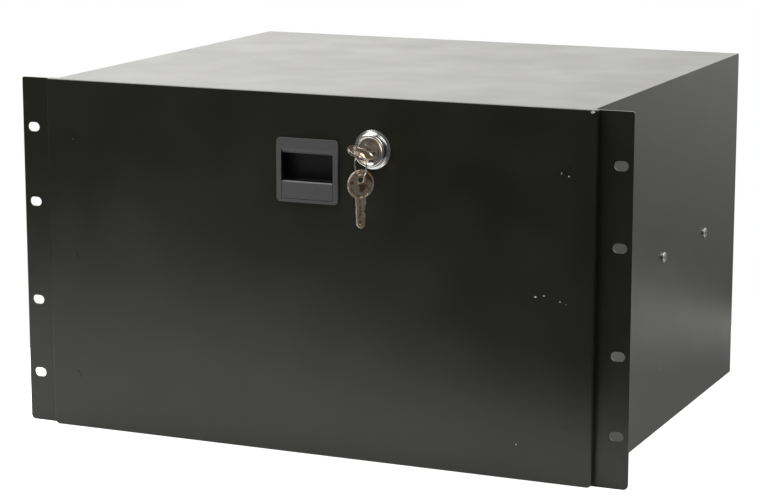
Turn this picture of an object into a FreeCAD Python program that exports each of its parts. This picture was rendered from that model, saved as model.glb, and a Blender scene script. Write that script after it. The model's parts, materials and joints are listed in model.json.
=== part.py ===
import FreeCAD, Part
import math
import os
from types import SimpleNamespace

import Sketcher

# Sliding rack drawer, six rack units high, for a 19-inch rack. Millimetres.
# X runs to the right seen from the front, the front faces -Y and Z is up. The origin lies midway
# between the rack slots, on the rear face of the ears, which is the face that meets the rack's rails.

doc = FreeCAD.newDocument("rack_drawer")

# ---------------------------------------------------------------- driving dimensions

SIZES = [
    # rack interface, from the 19-inch standard
    ("ear_span", 482.6),            # over both ears
    ("panel_height", 265.9),        # six units less the usual gap
    ("slot_inset", 8.75),           # of the slots' centres from the ears' outer edges
    ("slot_pitch_inner", 76.2),     # between the two middle slots of a column
    ("slot_pitch_outer", 190.5),    # between the two end slots of a column
    ("slot_length", 10.3),
    ("slot_width", 7.0),
    ("ear_corner_low", 3.5),
    ("ear_corner_top", 1.5),
    # case
    ("ear_width", 28.9),            # of an ear past the case's side
    ("case_depth", 361.5),
    ("side_sheet", 1.5),
    ("pan_sheet", 1.2),
    ("pan_flange", 12.0),
    ("back_flange", 5.0),
    ("top_lip", 14.0),
    ("base_lip", 8.0),
    ("bend_radius", 1.0),           # inside radius of every fold
    # drawer
    ("front_inset", 24.8),          # of the front's sides from the ears' outer edges
    ("front_over", 0.4),            # of the front's height over the ears'
    ("front_raise", 0.45),          # of the front's centre above the rack slots' centre
    ("front_proud", 6.5),           # outer face ahead of the ears
    ("front_gap", 0.8),             # between the front's flanges and the ears
    ("front_sheet", 1.5),
    ("front_corner", 3.5),
    ("tray_sheet", 1.2),
    ("tray_drop", 22.7),            # of the tray's rim below the top of the ears
    ("tray_lift", 10.0),            # of the tray's floor above the top of the base
    ("tray_rear_gap", 13.5),        # from the tray to the case's rear face
    ("tray_flange", 15.0),
    ("tray_hem", 8.0),
    ("rivet_inset", 2.7),           # of the front's rivets from the tray's side
    ("rivet_drop", 40.95),          # of the outer rivets from the ears' upper and lower ends
    ("rivet_radius", 3.0),
    ("rivet_shank", 1.4),
    ("rivet_head", 0.3),
    # ball-bearing slides
    ("slide_setback", 4.0),         # of the slides' front ends behind the rail face
    ("slide_rear_gap", 7.5),        # from the slides' rear ends to the case's rear face
    ("slide_height", 45.7),
    ("slide_depth", 12.7),
    ("slide_sheet", 1.2),
    ("slide_gap", 1.0),             # between two webs
    ("slide_lip", 1.3),
    ("ball_radius", 2.0),
    ("ball_play", 0.1),
    ("ball_set", 0.5),              # of the balls off the middle member's web
    ("ball_pitch", 18.0),
    ("ball_count", 8),
    ("cage_sheet", 0.8),
    ("cage_width", 4.8),
    # screws of the slides
    ("screw_radius", 2.0),
    ("screw_head_radius", 4.0),
    ("screw_head_height", 1.6),
    ("head_round", 0.85),
    ("screw_tail", 0.5),            # past the sheet it is threaded in
    ("cross_reach", 1.85),          # of a driver's recess from the screw's axis
    ("cross_half", 0.5),            # half the width of its slots
    ("cross_depth", 1.0),
    ("screw_first", 38.0),          # of the case's three screws, behind the rail face
    ("screw_second", 164.5),
    ("screw_third", 272.0),
    ("hole_play", 0.1),
    ("thread_play", 0.02),
    ("overlap", 0.5),               # by which cutting tools and joined blocks run past a face
    # rubber buffers between the front and the case's lips
    ("buffer_radius", 3.0),
    ("buffer_span", 320.0),
    ("buffer_inset", 5.7),          # from the ears' upper and lower ends
    ("seat_gap", 0.3),              # left where two bodies meet
    # latch
    ("latch_x", -0.7),
    ("latch_drop", 55.9),          # of the latch's centre below the front's upper edge
    ("bezel_width", 48.5),
    ("bezel_height", 46.6),
    ("bezel_thickness", 1.5),
    ("bezel_corner", 3.0),
    ("bezel_border", 2.4),          # below the thumb pad
    ("bezel_lap_side", 2.8),        # of the bezel past the housing
    ("bezel_lap_end", 1.2),
    ("housing_depth", 10.5),        # behind the front's outer face
    ("bezel_side", 3.8),            # of the bezel beside the recess
    ("recess_height", 19.5),
    ("recess_drop", 11.7),          # of the recess's top edge below the bezel's
    ("recess_floor", 1.5),          # thickness of the wall behind the recess
    ("grip_height", 5.0),           # of the finger room behind the top strip
    ("grip_thickness", 5.5),        # of the top strip
    ("grip_round", 5.2),
    ("shelf_gap", 2.0),             # between the paddle's hub and the shelf behind it
    ("paddle_thickness", 2.5),
    ("paddle_play", 0.25),
    ("window_play", 0.9),
    ("pin_radius", 1.0),
    ("pin_play", 0.04),
    ("pin_rise", 5.0),              # of the paddle's pin above the bezel's lower edge
    ("pin_set", 4.3),               # of the paddle's pin behind the bezel's face
    ("hub_radius", 2.3),
    ("arm_width", 8.0),
    ("arm_thickness", 2.6),
    ("bolt_width", 14.0),
    ("bolt_thickness", 3.0),
    ("bolt_corner", 2.0),
    ("bolt_play", 0.6),
    ("bolt_gap", 0.4),              # between the strike's plane and the bolt's
    ("bolt_tail", 5.0),             # of the bolt below the pin's centre
    ("strike_width", 40.0),
    ("strike_height", 13.0),
    ("strike_sheet", 1.5),
    ("strike_reach", 1.5),          # below the case's lip
    ("strike_slot", 6.0),
    ("strike_screw_span", 26.0),
    ("strike_clear", 0.5),          # between the stored bolt and its strike
    ("bracket_sheet", 1.5),
    ("bracket_height", 30.0),
    ("bracket_wing", 7.0),
    ("spring_radius", 1.6),
    ("spring_wire", 0.2),           # radius of its wire
    ("spring_pitch", 1.7),
    ("spring_room", 11.5),
    ("spring_play", 0.1),           # at each end of the spring
    ("small_screw_radius", 1.25),
    ("small_head_radius", 2.3),
    ("small_head_height", 1.3),
    ("bracket_screw_length", 5.0),
    # lock
    ("lock_x", 50.5),
    ("lock_drop", 37.3),            # of the lock's axis below the front's upper edge
    ("lock_flange_radius", 14.1),
    ("lock_ring_radius", 11.9),
    ("lock_proud", 8.0),
    ("lock_rim", 1.6),              # width of the front ring
    ("lock_dish", 1.8),             # depth of the dish inside the ring
    ("lock_dish_slope", 1.6),
    ("lock_edge", 0.5),             # bevel of the ring's outer edge
    ("lock_flare", 1.0),            # widening of the ring towards its foot
    ("lock_foot", 1.2),             # height of the flare from the ring to the flange
    ("lock_flange_edge", 1.0),      # thickness of the flange at its edge
    ("barrel_radius", 9.5),
    ("barrel_length", 12.6),        # behind the front's outer face
    ("plug_radius", 7.0),
    ("plug_play", 0.05),
    ("plug_sink", 1.2),             # of the plug's face below the ring
    ("washer_radius", 12.5),
    ("washer_thickness", 1.0),
    ("nut_flats", 24.0),
    ("nut_thickness", 4.0),
    ("cam_reach", 27.0),
    ("cam_width", 14.0),
    ("cam_thickness", 2.0),
    ("cam_boss", 1.5),              # of the cam's disc past its width
    ("cam_gap", 0.3),               # behind the barrel
    ("cam_square", 7.0),
    ("cam_screw_radius", 4.2),
    ("cam_screw_height", 2.2),
    # keys
    ("key_angle", 25.0),            # of the bow from level
    ("bow_radius", 10.3),
    ("bow_offset", 13.0),           # of the bow's centre ahead of the plug's ring
    ("key_sheet", 2.0),
    ("key_play", 0.2),
    ("bow_hole", 2.5),
    ("bow_hole_offset", 3.6),
    ("bow_rim", 1.2),               # width of the raised rim
    ("bow_boss", 1.1),              # width of the raised ring round the hole
    ("coin_depth", 0.3),            # of the sunk field and of the blade's groove
    ("blade_width", 9.0),
    ("blade_end_width", 6.2),
    ("blade_length", 31.3),         # past the bow's centre
    ("groove_width", 1.5),
    ("groove_offset", 0.3),         # of the groove's edge from the blade's middle
    ("key_end_gap", 0.5),           # between the blade's tip and the end of its slot
    ("notch_radius", 1.6),
    ("notch_first", 5.5),           # from the blade's tip
    ("notch_pitch", 3.2),
    ("ring_radius", 8.2),
    ("ring_wire", 0.6),
    ("ring_turn", -36.0),           # of the key ring's plane from the front
]

KEY_CUTS = (0.9, 0.5, 1.05, 0.7)    # depths of the key's notches, in notch radii
KEY_EDGE = 1.6                      # of a notch's centre past the blade's end width, less its depth


class Size:
    """A length that knows both its value and the sheet's formula for it."""

    def __init__(self, value, text):
        self.value = value
        self.text = text

    def __add__(self, other):
        other = as_size(other)
        return Size(self.value + other.value, f"({self.text} + {other.text})")

    def __sub__(self, other):
        other = as_size(other)
        return Size(self.value - other.value, f"({self.text} - {other.text})")

    def __mul__(self, other):
        other = as_size(other)
        return Size(self.value * other.value, f"({self.text} * {other.text})")

    def __truediv__(self, other):
        other = as_size(other)
        return Size(self.value / other.value, f"({self.text} / {other.text})")

    def __neg__(self):
        return Size(-self.value, f"(0 - {self.text})")

    def __radd__(self, other):
        return as_size(other) + self

    def __rsub__(self, other):
        return as_size(other) - self

    def __rmul__(self, other):
        return as_size(other) * self


def as_size(value):
    return value if isinstance(value, Size) else Size(float(value), repr(float(value)))


sheet = doc.addObject("Spreadsheet::Sheet", "dims")
named = {}
for row, (alias, value) in enumerate(SIZES, start=1):
    sheet.set(f"A{row}", alias)
    sheet.set(f"B{row}", str(value))
    sheet.setAlias(f"B{row}", alias)
    named[alias] = Size(float(value), f"dims.{alias}")
doc.recompute()
d = SimpleNamespace(**named)

PARTS = []


def keep(name, thing):
    """Mark an object as one of the sub-parts."""
    thing.Label = name
    PARTS.append(thing)
    return thing


def bind(thing, **sizes):
    for prop, size in sizes.items():
        thing.setExpression(prop, as_size(size).text)


def place(thing, x=0, y=0, z=0, axis=None, angle=0):
    """Put an object at (x, y, z), turned by an angle about an axis."""
    if axis is not None:
        turn = FreeCAD.Rotation(FreeCAD.Vector(*axis), as_size(angle).value)
        thing.Placement = FreeCAD.Placement(FreeCAD.Vector(), turn)
        thing.setExpression("Placement.Rotation.Angle", as_size(angle).text)
    thing.setExpression("Placement.Base.x", as_size(x).text)
    thing.setExpression("Placement.Base.y", as_size(y).text)
    thing.setExpression("Placement.Base.z", as_size(z).text)
    return thing


# ---------------------------------------------------------------- primitives and booleans

def box(x, y, z):
    """A block from x[0] to x[1], y[0] to y[1] and z[0] to z[1]."""
    block = doc.addObject("Part::Box", "block")
    bind(block, Length=x[1] - as_size(x[0]), Width=y[1] - as_size(y[0]), Height=z[1] - as_size(z[0]))
    return place(block, x[0], y[0], z[0])


def rod(along, centre, radius, ends):
    """A cylinder along "x", "y" or "z"; centre gives its place on the two other axes."""
    cylinder = doc.addObject("Part::Cylinder", "rod")
    bind(cylinder, Radius=radius, Height=ends[1] - as_size(ends[0]))
    if along == "x":
        return place(cylinder, ends[0], centre[0], centre[1], (0, 1, 0), 90)
    if along == "y":
        return place(cylinder, centre[0], ends[0], centre[1], (1, 0, 0), -90)
    return place(cylinder, centre[0], centre[1], ends[0])


def fuse(*shapes):
    if len(shapes) == 1:
        return shapes[0]
    joined = doc.addObject("Part::MultiFuse", "joined")
    joined.Shapes = list(shapes)
    joined.Refine = True
    return joined


def cut(base, *tools):
    result = doc.addObject("Part::Cut", "cut")
    result.Base = base
    result.Tool = fuse(*tools)
    return result


def group(*shapes):
    """Several separate solids in one sub-part."""
    together = doc.addObject("Part::Compound", "group")
    together.Links = list(shapes)
    return together


def edges_along(shape, axis, points):
    """Names of the straight edges along an axis that pass the given places on the two other axes."""
    index = "xyz".index(axis)
    others = [i for i in range(3) if i != index]
    found = []
    for number, edge in enumerate(shape.Edges, start=1):
        if not isinstance(edge.Curve, (Part.Line, Part.LineSegment)):
            continue
        first, last = edge.firstVertex().Point, edge.lastVertex().Point
        if abs(abs(last[index] - first[index]) - edge.Length) > 1e-5:
            continue
        for point in points:
            away = [abs(first[i] - as_size(p).value) for i, p in zip(others, point)]
            if max(away) < 0.01:
                found.append(number)
    return found


def rounded(base, axis, points, radius):
    """Fillet the edges along an axis at the given places."""
    doc.recompute()
    result = doc.addObject("Part::Fillet", "rounded")
    result.Base = base
    size = as_size(radius).value
    result.Edges = [(number, size, size) for number in edges_along(base.Shape, axis, points)]
    return result


# ---------------------------------------------------------------- folded sheets

PLANES = {"z": "XY_Plane", "y": "XZ_Plane", "x": "YZ_Plane"}


class Body:
    """A PartDesign body: padded or turned outlines, then pockets and rounded folds."""

    def __init__(self, name):
        self.name = name
        self.body = keep(name, doc.addObject("PartDesign::Body", name))

    def sketch(self, along, start):
        sketch = self.body.newObject("Sketcher::SketchObject", "Sketch")
        planes = {feature.Role: feature for feature in self.body.Origin.OriginFeatures}
        sketch.AttachmentSupport = [(planes[PLANES[along]], "")]
        sketch.MapMode = "FlatFace"
        offset = -as_size(start) if along == "y" else as_size(start)
        sketch.setExpression("AttachmentOffset.Base.z", offset.text)
        doc.recompute()
        return sketch

    def pin_point(self, sketch, geometry, which, point):
        for kind, size in zip(("DistanceX", "DistanceY"), point):
            size = as_size(size)
            number = sketch.addConstraint(
                Sketcher.Constraint(kind, -1, 1, geometry, which, size.value))
            sketch.setExpression(f"Constraints[{number}]", size.text)

    def polygon(self, sketch, points):
        corners = [FreeCAD.Vector(as_size(a).value, as_size(b).value, 0) for a, b in points]
        first = sketch.GeometryCount
        count = len(points)
        for i in range(count):
            sketch.addGeometry(Part.LineSegment(corners[i], corners[(i + 1) % count]), False)
        for i in range(count):
            sketch.addConstraint(Sketcher.Constraint(
                "Coincident", first + i, 2, first + (i + 1) % count, 1))
        for i in range(count):
            self.pin_point(sketch, first + i, 1, points[i])

    def add(self, along, ends, points):
        """Pad one more outline from ends[0] to ends[1] along an axis."""
        sketch = self.sketch(along, ends[0])
        self.polygon(sketch, points)
        self.tip = self.body.newObject("PartDesign::Pad", "Pad")
        self.tip.Profile = sketch
        self.tip.Reversed = along == "y"
        bind(self.tip, Length=ends[1] - as_size(ends[0]))
        doc.recompute()
        return self

    def circle(self, sketch, centre, radius):
        middle = FreeCAD.Vector(as_size(centre[0]).value, as_size(centre[1]).value, 0)
        radius = as_size(radius)
        number = sketch.addGeometry(
            Part.Circle(middle, FreeCAD.Vector(0, 0, 1), radius.value), False)
        self.pin_point(sketch, number, 3, centre)
        limit = sketch.addConstraint(Sketcher.Constraint("Radius", number, radius.value))
        sketch.setExpression(f"Constraints[{limit}]", radius.text)

    def slot(self, sketch, centre, length, width):
        """A level slot with round ends."""
        radius = as_size(width) / 2
        reach = (as_size(length) - width) / 2
        up = FreeCAD.Vector(0, 0, 1)
        ends = []
        for side in (-1, 1):
            middle = (as_size(centre[0]) + side * reach, centre[1])
            at = FreeCAD.Vector(middle[0].value, as_size(middle[1]).value, 0)
            start = math.pi / 2 if side < 0 else -math.pi / 2
            arc = Part.ArcOfCircle(Part.Circle(at, up, radius.value), start, start + math.pi)
            ends.append((sketch.addGeometry(arc, False), middle))
        left, right = ends[0][0], ends[1][0]
        x = [ends[i][1][0].value for i in (0, 1)]
        z = as_size(centre[1]).value
        top = sketch.addGeometry(Part.LineSegment(
            FreeCAD.Vector(x[0], z + radius.value, 0), FreeCAD.Vector(x[1], z + radius.value, 0)), False)
        low = sketch.addGeometry(Part.LineSegment(
            FreeCAD.Vector(x[0], z - radius.value, 0), FreeCAD.Vector(x[1], z - radius.value, 0)), False)
        for arc, arc_end, line, line_end in (
                (left, 1, top, 1), (left, 2, low, 1), (right, 1, low, 2), (right, 2, top, 2)):
            sketch.addConstraint(Sketcher.Constraint("Tangent", arc, arc_end, line, line_end))
        for arc, middle in ends:
            self.pin_point(sketch, arc, 3, middle)
            limit = sketch.addConstraint(Sketcher.Constraint("Radius", arc, radius.value))
            sketch.setExpression(f"Constraints[{limit}]", radius.text)

    def pocket(self, along, ends, draw):
        """Cut what draw(sketch) outlines, from ends[0] to ends[1] along an axis."""
        before = self.tip.Shape.Volume
        sketch = self.sketch(along, ends[0])
        draw(sketch)
        self.tip = self.body.newObject("PartDesign::Pocket", "Pocket")
        self.tip.Profile = sketch
        self.tip.Reversed = along != "y"
        bind(self.tip, Length=ends[1] - as_size(ends[0]))
        doc.recompute()
        if self.tip.Shape.Volume >= before:
            raise ValueError(f"a pocket in {self.name} cut nothing")
        return self

    def round(self, axis, points, radius):
        names = edges_along(self.tip.Shape, axis, points)
        base = self.tip
        self.tip = self.body.newObject("PartDesign::Fillet", "Fillet")
        self.tip.Base = (base, [f"Edge{number}" for number in names])
        bind(self.tip, Radius=radius)
        doc.recompute()
        return self

    def bend(self, axis, folds, thickness):
        """Round folds; each is the place of its inner edge and of its outer edge."""
        self.round(axis, [inner for inner, outer in folds], d.bend_radius)
        return self.round(axis, [outer for inner, outer in folds], d.bend_radius + thickness)

    def turn(self, profile, x, z):
        """Turn an outline of (radius, y) points about the line along Y through x and z."""
        sketch = self.sketch("z", 0)
        self.polygon(sketch, profile)
        self.tip = self.body.newObject("PartDesign::Revolution", "Revolution")
        self.tip.Profile = sketch
        self.tip.ReferenceAxis = (sketch, ["V_Axis"])
        place(self.body, x, 0, z)
        doc.recompute()
        return self


def folded(name, along, profile, ends):
    """A sheet whose outline is padded from ends[0] to ends[1] along an axis."""
    return Body(name).add(along, ends, profile)


# ---------------------------------------------------------------- shared places

half_ears = d.ear_span / 2
half_case = half_ears - d.ear_width
half_front = half_ears - d.front_inset
half_inside = half_case - d.side_sheet
top = d.panel_height / 2
bottom = -top
back = d.case_depth
ear_face = -d.side_sheet
front_face = ear_face - d.front_proud
front_inside = front_face + d.front_sheet
flange_end = ear_face - d.front_gap
front_top = d.front_raise + top + d.front_over / 2
front_bottom = d.front_raise - top - d.front_over / 2
half_tray = half_inside - d.slide_depth
tray_floor = bottom + d.pan_sheet + d.tray_lift
tray_top = top - d.tray_drop
tray_back = back - d.tray_rear_gap
slide_front = d.slide_setback
slide_back = back - d.slide_rear_gap
strike_low = top - d.top_lip - d.strike_reach
SIDES = (("left", -1), ("right", 1))
screw_rows = (d.screw_first, d.screw_second, d.screw_third)


def span(side, near, far):
    """The stretch from near to far on the left (-1) or right (+1), in rising order."""
    ends = [side * as_size(near), side * as_size(far)]
    return ends if side > 0 else ends[::-1]


def mirrored(side, points):
    """The same outline on the left (-1) or right (+1)."""
    return [(side * as_size(a), b) for a, b in points]


def around(centre, half):
    return (centre - half, centre + half)


# ---------------------------------------------------------------- case

def make_case_side(name, side):
    """A side panel whose front edge is folded outward into a rack ear."""
    profile = mirrored(side, [
        (half_inside, ear_face), (half_ears, ear_face), (half_ears, 0), (half_case, 0),
        (half_case, back - d.pan_sheet), (half_inside, back - d.pan_sheet)])
    panel = folded(name, "z", profile, (bottom, top))
    # the panel itself stops under the top and above the base, only the ear runs the full height
    for low, high in ((bottom, bottom + d.pan_sheet), (top - d.pan_sheet, top)):
        panel.pocket("z", (low, high), lambda sketch: panel.polygon(sketch, mirrored(side, [
            (half_inside, 0), (half_case, 0), (half_case, back), (half_inside, back)])))
    panel.round("z", mirrored(side, [(half_inside, ear_face)]), d.bend_radius)

    def slots(sketch):
        for pitch in (d.slot_pitch_inner, d.slot_pitch_outer):
            for end in (-1, 1):
                panel.slot(sketch, (side * (half_ears - d.slot_inset), end * (pitch / 2)),
                           d.slot_length, d.slot_width)

    def screw_holes(sketch):
        for row in screw_rows:
            panel.circle(sketch, (row, 0), d.screw_radius + d.hole_play)

    panel.pocket("y", (ear_face, 0), slots)
    panel.pocket("x", span(side, half_inside, half_case), screw_holes)
    panel.round("y", mirrored(side, [(half_ears, bottom)]), d.ear_corner_low)
    panel.round("y", mirrored(side, [(half_ears, top)]), d.ear_corner_top)


def make_case_pan(name, level, lip):
    """The top (+1) or base (-1): a sheet with flanges folded in along the sides and a front lip."""
    outer, inner = level * top, level * (top - d.pan_sheet)
    edge = level * (top - d.pan_flange)
    profile = [
        (-half_case, outer), (half_case, outer), (half_case, inner), (half_inside, inner),
        (half_inside, edge), (half_inside - d.pan_sheet, edge),
        (half_inside - d.pan_sheet, inner), (-half_inside + d.pan_sheet, inner),
        (-half_inside + d.pan_sheet, edge), (-half_inside, edge), (-half_inside, inner),
        (-half_case, inner)]
    pan = folded(name, "y", profile, (0, back - d.pan_sheet))
    lip_edge = level * (top - lip)
    flange_inside = half_inside - d.pan_sheet
    return pan.add("x", (-flange_inside, flange_inside), [
        (0, inner), (d.pan_sheet, inner), (d.pan_sheet, lip_edge), (0, lip_edge)])


def make_case():
    for name, side in SIDES:
        make_case_side(f"case_side_{name}", side)
    top_pan = make_case_pan("case_top", 1, d.top_lip)
    strike_z = strike_low + d.strike_height / 2

    def strike_holes(sketch):
        for end in (-1, 1):
            centre = (d.latch_x + end * (d.strike_screw_span / 2), strike_z)
            top_pan.circle(sketch, centre, d.small_screw_radius + d.hole_play)

    top_pan.pocket("y", (0, d.pan_sheet), strike_holes)
    make_case_pan("case_base", -1, d.base_lip)

    # the back closes the rear; its flanges run forward inside the side panels' flanges
    rear = back - d.pan_sheet
    inner_half = half_inside - d.pan_sheet
    panel = folded("case_back", "z", [
        (-half_case, rear), (half_case, rear), (half_case, back), (-half_case, back)], (bottom, top))
    for side in (-1, 1):
        panel.add("z", (bottom + d.pan_sheet, top - d.pan_sheet), mirrored(side, [
            (inner_half, rear), (inner_half, rear - d.back_flange),
            (inner_half - d.pan_sheet, rear - d.back_flange), (inner_half - d.pan_sheet, rear)]))
    panel.round("x", [(back, bottom), (back, top)], d.bend_radius)
    panel.round("z", [(-half_case, back), (half_case, back)], d.bend_radius)


# ---------------------------------------------------------------- drawer

latch_z = front_top - d.latch_drop
lock_z = front_top - d.lock_drop
latch_low, latch_top = around(latch_z, d.bezel_height / 2)
half_housing = d.bezel_width / 2 - d.bezel_lap_side
housing_low = latch_low + d.bezel_lap_end
housing_top = latch_top - d.bezel_lap_end


def make_drawer_front():
    half = half_front
    profile = [
        (-half, front_face), (half, front_face), (half, flange_end),
        (half - d.front_sheet, flange_end), (half - d.front_sheet, front_inside),
        (-half + d.front_sheet, front_inside), (-half + d.front_sheet, flange_end),
        (-half, flange_end)]
    front = folded("drawer_front", "z", profile, (front_bottom, front_top))
    for low, high in ((front_bottom, front_bottom + d.front_sheet),
                      (front_top - d.front_sheet, front_top)):
        front.add("z", (low, high), [
            (-half, front_inside), (half, front_inside), (half, flange_end), (-half, flange_end)])

    def openings(sketch):
        front.circle(sketch, (d.lock_x, lock_z), d.barrel_radius + d.hole_play)
        left, right = around(d.latch_x, half_housing + d.hole_play)
        low, high = housing_low - d.hole_play, housing_top + d.hole_play
        front.polygon(sketch, [(left, low), (right, low), (right, high), (left, high)])
        for x, z in rivet_places():
            front.circle(sketch, (x, z), d.rivet_shank + d.hole_play)

    front.pocket("y", (front_face, front_inside), openings)
    front.round("y", [(-half, front_bottom), (half, front_bottom)], d.front_corner)
    front.round("z", [(-half, front_face), (half, front_face)], d.bend_radius)
    front.round("x", [(front_face, front_bottom), (front_face, front_top)], d.bend_radius)


def rivet_places():
    x = half_tray - d.rivet_inset
    return [(side * x, row * (top - d.rivet_drop)) for side in (-1, 1) for row in (-1, 0, 1)]


def make_tray():
    """Floor and sides in one folded sheet, with hems along the top and flanges at the front."""
    inside = half_tray - d.tray_sheet
    floor_top = tray_floor + d.tray_sheet
    hem = half_tray - d.tray_hem
    profile = [
        (-half_tray, tray_floor), (half_tray, tray_floor), (half_tray, tray_top), (hem, tray_top),
        (hem, tray_top - d.tray_sheet), (inside, tray_top - d.tray_sheet), (inside, floor_top),
        (-inside, floor_top), (-inside, tray_top - d.tray_sheet), (-hem, tray_top - d.tray_sheet),
        (-hem, tray_top), (-half_tray, tray_top)]
    tray = folded("drawer_tray", "y", profile, (front_inside, tray_back))
    # front flanges, folded inward against the back of the front
    for side in (-1, 1):
        tray.add("z", (floor_top, tray_top - d.tray_sheet), mirrored(side, [
            (inside, front_inside), (inside, front_inside + d.tray_sheet),
            (half_tray - d.tray_flange, front_inside + d.tray_sheet),
            (half_tray - d.tray_flange, front_inside)]))

    def rivet_holes(sketch):
        for x, z in rivet_places():
            tray.circle(sketch, (x, z), d.rivet_shank + d.hole_play)

    tray.pocket("y", (front_inside, front_inside + d.tray_sheet), rivet_holes)
    for side in (-1, 1):
        tray.pocket("x", span(side, inside, half_tray), lambda sketch: [
            tray.circle(sketch, (row, 0), d.screw_radius + d.hole_play) for row in screw_rows])
    tray.round("y", [(-inside, floor_top), (inside, floor_top)], d.bend_radius)
    tray.round("y", [(side * half_tray, level) for side in (-1, 1)
                     for level in (tray_floor, tray_top)], d.bend_radius + d.tray_sheet)


def make_drawer_back():
    """The drawer's rear wall, with flanges folded forward inside the tray."""
    inside = half_tray - d.tray_sheet
    outer, inner = tray_back, tray_back - d.tray_sheet
    edge = tray_back - d.pan_flange
    profile = [
        (-inside, outer), (inside, outer), (inside, edge), (inside - d.tray_sheet, edge),
        (inside - d.tray_sheet, inner), (-inside + d.tray_sheet, inner),
        (-inside + d.tray_sheet, edge), (-inside, edge)]
    low = tray_floor + d.tray_sheet + d.bend_radius
    wall = folded("drawer_back", "z", profile, (low, tray_top - d.tray_sheet))
    wall.bend("z", [((side * (inside - d.tray_sheet), inner), (side * inside, outer))
                    for side in (-1, 1)], d.tray_sheet)


def make_front_rivets():
    rivets = []
    for x, z in rivet_places():
        deep = front_inside + d.tray_sheet
        rivets.append(fuse(
            rod("y", (x, z), d.rivet_radius, (front_face - d.rivet_head, front_face)),
            rod("y", (x, z), d.rivet_shank, (front_face, deep))))
    keep("front_rivets", group(*rivets))


def make_buffers():
    """Rubber buffers behind the front, which meet the case's lips when the drawer shuts."""
    buffers = []
    for z in (top - d.buffer_inset, bottom + d.buffer_inset):
        for x in around(as_size(0), d.buffer_span / 2):
            buffers.append(rod("y", (x, z), d.buffer_radius, (front_inside, -d.seat_gap)))
    keep("drawer_buffers", group(*buffers))


# ---------------------------------------------------------------- slides

def make_slides():
    """Three members and two rows of caged balls on each side of the drawer."""
    t = d.slide_sheet
    half = d.slide_height / 2
    mid_half = half - t - 2 * (d.ball_radius + d.ball_play)
    inner_half = mid_half - t - 2 * (d.ball_radius + d.ball_play)
    mid_start = t + d.slide_gap
    ball_u = mid_start + t + d.ball_radius + d.ball_set
    lip_at = ball_u + d.ball_radius + d.ball_set
    for name, side in SIDES:
        def across(u):
            return side * (half_inside - u)

        def channel(start, level, end, lip):
            """Half a channel's outline doubled up: web at start, flanges at +-level, small lips."""
            upper = [
                (start, level), (end, level), (end, level - t - lip), (end - t, level - t - lip),
                (end - t, level - t), (start + t, level - t)]
            points = upper + [(u, -as_size(v)) for u, v in reversed(upper)]
            return [(across(u), v) for u, v in points]

        outer = folded(f"slide_outer_{name}", "y",
                       channel(as_size(0), half, lip_at + t, d.slide_lip), (slide_front, slide_back))
        outer.pocket("x", span(side, half_inside - t, half_inside), lambda sketch: [
            outer.circle(sketch, (row, 0), d.screw_radius) for row in screw_rows])
        folded(f"slide_mid_{name}", "y",
               channel(mid_start, mid_half, lip_at + t, d.slide_lip), (slide_front, slide_back))
        web = d.slide_depth
        flange = mid_start + t + 1
        inner_profile = [
            (web, inner_half), (flange, inner_half), (flange, inner_half - t), (web - t, inner_half - t),
            (web - t, t - inner_half), (flange, t - inner_half), (flange, -inner_half),
            (web, -inner_half)]
        inner = folded(f"slide_inner_{name}", "y",
                       [(across(u), v) for u, v in inner_profile], (slide_front, slide_back))
        inner.pocket("x", span(side, half_tray, half_tray + t), lambda sketch: [
            inner.circle(sketch, (row, 0), d.screw_radius) for row in screw_rows])

        middle = (slide_front + slide_back) / 2
        cage_half = d.ball_pitch * (d.ball_count - 1) / 2 + 2 * d.ball_radius
        for kind, level in (("outer", half - t), ("inner", mid_half - t)):
            pieces = []
            for end in (-1, 1):
                v = end * (level - d.ball_play - d.ball_radius)
                u = [across(ball_u - d.cage_width / 2), across(ball_u + d.cage_width / 2)]
                strip = box(sorted(u, key=lambda size: size.value),
                            (middle - cage_half, middle + cage_half),
                            (v - d.cage_sheet / 2, v + d.cage_sheet / 2))
                holes = []
                for number in range(int(d.ball_count.value)):
                    y = middle + d.ball_pitch * (number - (d.ball_count.value - 1) / 2)
                    hole = rod("z", (across(ball_u), y), d.ball_radius + d.ball_play,
                               (v - d.ball_radius, v + d.ball_radius))
                    holes.append(hole)
                    ball = doc.addObject("Part::Sphere", "ball")
                    bind(ball, Radius=d.ball_radius)
                    place(ball, across(ball_u), y, v)
                    pieces.append(ball)
                pieces.append(cut(strip, *holes))
            keep(f"ball_cage_{kind}_{name}", group(*pieces))


def make_slide_screws():
    for name, side in SIDES:
        case_screws, tray_screws = [], []
        for row in screw_rows:
            head = span(side, half_case, half_case + d.screw_head_height)
            shank = span(side, half_inside - d.slide_sheet - d.screw_tail, half_case)
            case_screws.append(pan_screw((row, as_size(0)), head, shank, side))
            inside = half_tray - d.tray_sheet
            head = span(side, inside - d.screw_head_height, inside)
            shank = span(side, inside, half_tray + d.slide_sheet + d.screw_tail)
            tray_screws.append(pan_screw((row, as_size(0)), head, shank, -side))
        keep(f"case_screws_{name}", group(*case_screws))
        keep(f"drawer_screws_{name}", group(*tray_screws))


def pan_screw(centre, head, shank, outward):
    """A pan-head screw along X with a cross recess; outward is the head's direction."""
    face = head[1] if outward > 0 else head[0]
    crown = crown_rounded(rod("x", centre, d.screw_head_radius, head), face)
    depth = sorted([face, face - outward * d.cross_depth], key=lambda size: size.value)
    screw = fuse(crown, rod("x", centre, d.screw_radius - d.thread_play, shank))
    return cut(screw, *cross_recess("x", centre, depth))


def cross_recess(along, centre, ends):
    """The two crossing slots that a driver fits."""
    slots = []
    for a, b in ((d.cross_reach, d.cross_half), (d.cross_half, d.cross_reach)):
        limits = [around(centre[0], a), around(centre[1], b)]
        limits.insert("xyz".index(along), ends)
        slots.append(box(*limits))
    return slots


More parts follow.
